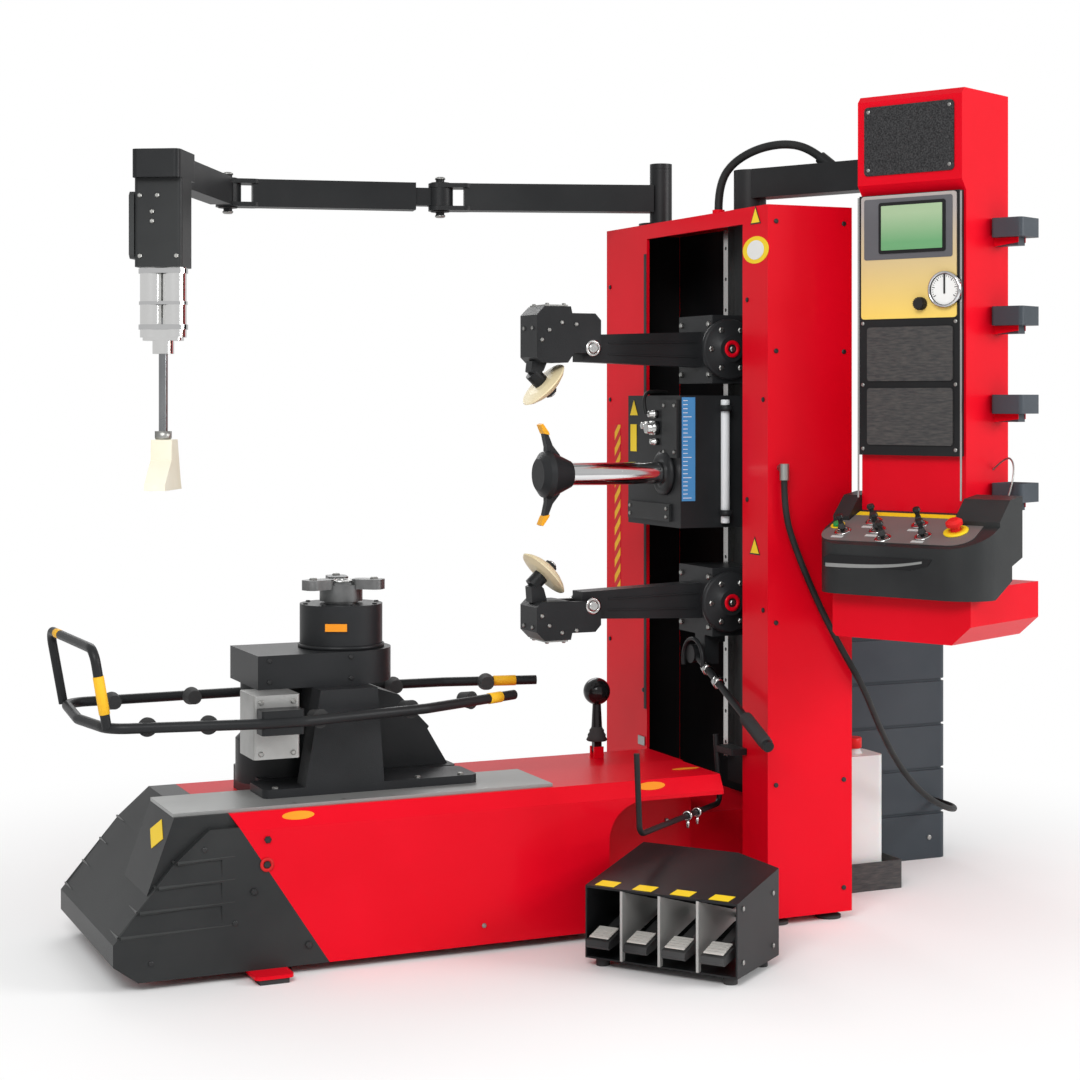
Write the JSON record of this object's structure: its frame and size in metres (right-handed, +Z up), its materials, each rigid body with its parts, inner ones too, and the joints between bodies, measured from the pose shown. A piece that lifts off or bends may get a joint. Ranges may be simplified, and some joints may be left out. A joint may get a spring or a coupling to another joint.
{
  "type": "tyre changer",
  "caption": "Floor-standing leverless tyre changer with a sliding wheel chuck, a tool tower, an overhead presser arm and a swivelling console.",
  "frame": {"origin": "floor under the middle of the machine's overall box", "axes": "+X along the base from the nose towards the tower, +Y away from the operator, +Z up"},
  "size_m": [2.519, 1.6081, 2.042],
  "materials": {
    "red_paint": "gloss",
    "black_plastic": "satin",
    "ground_steel": "satin",
    "chrome": "polished",
    "rubber": "matte",
    "black_paint": "satin",
    "cast_aluminium": "satin",
    "cream_plastic": "satin",
    "cabinet_grey": "satin",
    "white_plastic": "satin",
    "control_black": "gloss",
    "control_green": "gloss",
    "control_red": "gloss"
  },
  "bodies": {
    "machine": {"base_frame": "red_paint", "nose_cover": "black_plastic", "slide_plate": "ground_steel", "levelling_feet": "rubber", "tower_frame": "red_paint", "guide_column": "black_paint", "guide_rails": "chrome", "pedal_box": "black_plastic", "pedal_dividers": "black_plastic", "rear_cabinet": "cabinet_grey", "bottle_tray": "cabinet_grey", "lubricant_bottle": "white_plastic", "air_regulator": "cast_aluminium", "supply_hose": "rubber", "presser_post": "black_paint", "latch_bar": "black_paint"},
    "carriage": {"carriage_frame": "black_paint", "gearbox_housing": "black_paint", "lift_bracket": "cast_aluminium"},
    "chuck": {"chuck_plate": "black_paint"},
    "wheel_lift": {"lift_frame": "black_paint", "lift_rollers": "rubber"},
    "upper_slide": {"upper_arm": "black_paint"},
    "upper_head": {"upper_head": "black_paint"},
    "upper_disc": {"upper_disc": "cream_plastic"},
    "lower_slide": {"lower_arm": "black_paint"},
    "lower_head": {"lower_head": "black_paint"},
    "lower_disc": {"lower_disc": "cream_plastic"},
    "guard_lever": {"guard_lever": "black_paint"},
    "tool_slide": {"tool_carriage": "black_paint"},
    "tool": {"tool_shaft": "chrome", "tool_head": "black_paint"},
    "presser_link_1": {"presser_link_1": "black_paint"},
    "presser_link_2": {"presser_link_2": "black_paint"},
    "presser_link_3": {"presser_link_3": "black_paint", "press_head": "black_paint", "press_cylinders": "chrome"},
    "press_rod": {"press_rod": "chrome", "press_foot": "cream_plastic"},
    "console": {"console_boom": "black_paint", "console_pillar": "red_paint", "panel_frame": "black_plastic", "console_desk": "black_plastic", "tool_holders": "black_plastic", "console_conduit": "rubber"},
    "gauge_needle": {"gauge_needle": "control_black"},
    "regulator_knob": {"regulator_knob": "control_black"},
    "start_button": {"start_button": "control_green"},
    "stop_button": {"stop_button": "control_red"},
    "ball_lever": {"ball_lever": "black_paint"},
    "pedal_1": {"pedal_1": "black_paint"},
    "pedal_2": {"pedal_2": "black_paint"},
    "pedal_3": {"pedal_3": "black_paint"},
    "pedal_4": {"pedal_4": "black_paint"},
    "joystick_1": {"joystick_1": "control_black"},
    "joystick_2": {"joystick_2": "control_black"},
    "joystick_3": {"joystick_3": "control_black"},
    "joystick_4": {"joystick_4": "control_black"},
    "joystick_5": {"joystick_5": "control_black"},
    "joystick_6": {"joystick_6": "control_black"}
  },
  "joints": [
    {"name": "carriage_travel", "type": "slide", "parent": "machine", "child": "carriage", "axis": [-1, 0, 0], "range_m": [-0.12, 0.1]},
    {"name": "chuck_spin", "type": "hinge", "parent": "carriage", "child": "chuck", "pos_m": [-0.585, 0.067, 0.807], "axis": [0, 0, 1], "continuous": true},
    {"name": "wheel_lift_raise", "type": "slide", "parent": "carriage", "child": "wheel_lift", "axis": [0, 0, 1], "range_m": [0, 0.08]},
    {"name": "upper_arm_travel", "type": "slide", "parent": "machine", "child": "upper_slide", "axis": [0, 0, -1], "range_m": [-0.18, 0.025]},
    {"name": "upper_head_tilt", "type": "hinge", "parent": "upper_slide", "child": "upper_head", "pos_m": [0.067, 0.067, 1.43], "axis": [0, 1, 0], "range_deg": [-12, 12]},
    {"name": "upper_disc_spin", "type": "hinge", "parent": "upper_head", "child": "upper_disc", "pos_m": [-0.048, 0.067, 1.338], "axis": [-0.7314, 0, 0.682], "continuous": true},
    {"name": "lower_arm_travel", "type": "slide", "parent": "machine", "child": "lower_slide", "axis": [0, 0, -1], "range_m": [-0.065, 0.1]},
    {"name": "lower_head_tilt", "type": "hinge", "parent": "lower_slide", "child": "lower_head", "pos_m": [0.067, 0.067, 0.778], "axis": [0, 1, 0], "range_deg": [-12, 12]},
    {"name": "lower_disc_spin", "type": "hinge", "parent": "lower_head", "child": "lower_disc", "pos_m": [-0.048, 0.067, 0.86], "axis": [-0.7314, 0, -0.682], "continuous": true},
    {"name": "guard_lever_swing", "type": "hinge", "parent": "lower_slide", "child": "guard_lever", "pos_m": [0.373, 0.043, 0.64], "axis": [-1, 0, 0], "range_deg": [-12, 20]},
    {"name": "tool_block_travel", "type": "slide", "parent": "machine", "child": "tool_slide", "axis": [0, 0, -1], "range_m": [-0.02, 0.06]},
    {"name": "tool_turn", "type": "hinge", "parent": "tool_slide", "child": "tool", "pos_m": [0.025, 0.067, 1.11], "axis": [1, 0, 0], "range_deg": [0, 180]},
    {"name": "presser_shoulder", "type": "hinge", "parent": "machine", "child": "presser_link_1", "pos_m": [0.49, 0.467, 1.862], "axis": [0, 0, 1], "range_deg": [-40, 12]},
    {"name": "presser_elbow", "type": "hinge", "parent": "presser_link_1", "child": "presser_link_2", "pos_m": [-0.097, 0.666, 1.862], "axis": [0, 0, 1], "range_deg": [-25, 35]},
    {"name": "presser_wrist", "type": "hinge", "parent": "presser_link_2", "child": "presser_link_3", "pos_m": [-0.671, 0.781, 1.862], "axis": [0, 0, 1], "range_deg": [-40, 40]},
    {"name": "press_rod_travel", "type": "slide", "parent": "presser_link_3", "child": "press_rod", "axis": [0, 0, -1], "range_m": [-0.12, 0.06]},
    {"name": "console_swivel", "type": "hinge", "parent": "machine", "child": "console", "pos_m": [0.49815, -0.02396, 1.79], "axis": [0, 0, 1], "range_deg": [-25, 35], "deforming": ["console_conduit"]},
    {"name": "pedal_1_press", "type": "hinge", "parent": "machine", "child": "pedal_1", "pos_m": [0.02847, -0.34083, 0.11], "axis": [0.6018, -0.7986, 0], "range_deg": [0, 8], "stiffness_Nm_per_rad": 40, "springref_deg": -6.88},
    {"name": "pedal_2_press", "type": "hinge", "parent": "machine", "child": "pedal_2", "pos_m": [0.08564, -0.4167, 0.11], "axis": [0.6018, -0.7986, 0], "range_deg": [0, 8], "stiffness_Nm_per_rad": 40, "springref_deg": -6.88},
    {"name": "pedal_3_press", "type": "hinge", "parent": "machine", "child": "pedal_3", "pos_m": [0.14281, -0.49257, 0.11], "axis": [0.6018, -0.7986, 0], "range_deg": [0, 8], "stiffness_Nm_per_rad": 40, "springref_deg": -6.88},
    {"name": "pedal_4_press", "type": "hinge", "parent": "machine", "child": "pedal_4", "pos_m": [0.19999, -0.56844, 0.11], "axis": [0.6018, -0.7986, 0], "range_deg": [0, 8], "stiffness_Nm_per_rad": 40, "springref_deg": -6.88},
    {"name": "joystick_1_tilt", "type": "hinge", "parent": "console", "child": "joystick_1", "pos_m": [0.52266, -0.43772, 0.97573], "axis": [0.4305, -0.9026, 0], "range_deg": [-18, 18], "stiffness_Nm_per_rad": 0.4},
    {"name": "joystick_2_tilt", "type": "hinge", "parent": "console", "child": "joystick_2", "pos_m": [0.59465, -0.46321, 0.99929], "axis": [0.4305, -0.9026, 0], "range_deg": [-18, 18], "stiffness_Nm_per_rad": 0.4},
    {"name": "joystick_3_tilt", "type": "hinge", "parent": "console", "child": "joystick_3", "pos_m": [0.57318, -0.51112, 0.98184], "axis": [0.4305, -0.9026, 0], "range_deg": [-18, 18], "stiffness_Nm_per_rad": 0.4},
    {"name": "joystick_4_tilt", "type": "hinge", "parent": "console", "child": "joystick_4", "pos_m": [0.55524, -0.56177, 0.96525], "axis": [0.4305, -0.9026, 0], "range_deg": [-18, 18], "stiffness_Nm_per_rad": 0.4},
    {"name": "joystick_5_tilt", "type": "hinge", "parent": "console", "child": "joystick_5", "pos_m": [0.6452, -0.58313, 0.99667], "axis": [0.4305, -0.9026, 0], "range_deg": [-18, 18], "stiffness_Nm_per_rad": 0.4},
    {"name": "joystick_6_tilt", "type": "hinge", "parent": "console", "child": "joystick_6", "pos_m": [0.61368, -0.64248, 0.97311], "axis": [0.4305, -0.9026, 0], "range_deg": [-18, 18], "stiffness_Nm_per_rad": 0.4},
    {"name": "start_button_press", "type": "slide", "parent": "console", "child": "start_button", "axis": [0.361, 0.1722, -0.9165], "range_m": [0, 0.003], "stiffness_N_per_m": 300, "springref_m": -0.004},
    {"name": "stop_button_press", "type": "slide", "parent": "console", "child": "stop_button", "axis": [0.361, 0.1722, -0.9165], "range_m": [0, 0.005], "stiffness_N_per_m": 600, "springref_m": -0.004},
    {"name": "gauge_needle_turn", "type": "hinge", "parent": "console", "child": "gauge_needle", "pos_m": [0.69294, -0.61354, 1.562], "axis": [-0.9026, -0.4305, 0], "range_deg": [-120, 120]},
    {"name": "regulator_knob_turn", "type": "hinge", "parent": "console", "child": "regulator_knob", "pos_m": [0.67355, -0.54966, 1.53], "axis": [-0.9026, -0.4305, 0], "range_deg": [-150, 150]},
    {"name": "ball_lever_swing", "type": "hinge", "parent": "machine", "child": "ball_lever", "pos_m": [0.206, 0.288, 0.361], "axis": [0, 1, 0], "range_deg": [-18, 18]}
  ]
}
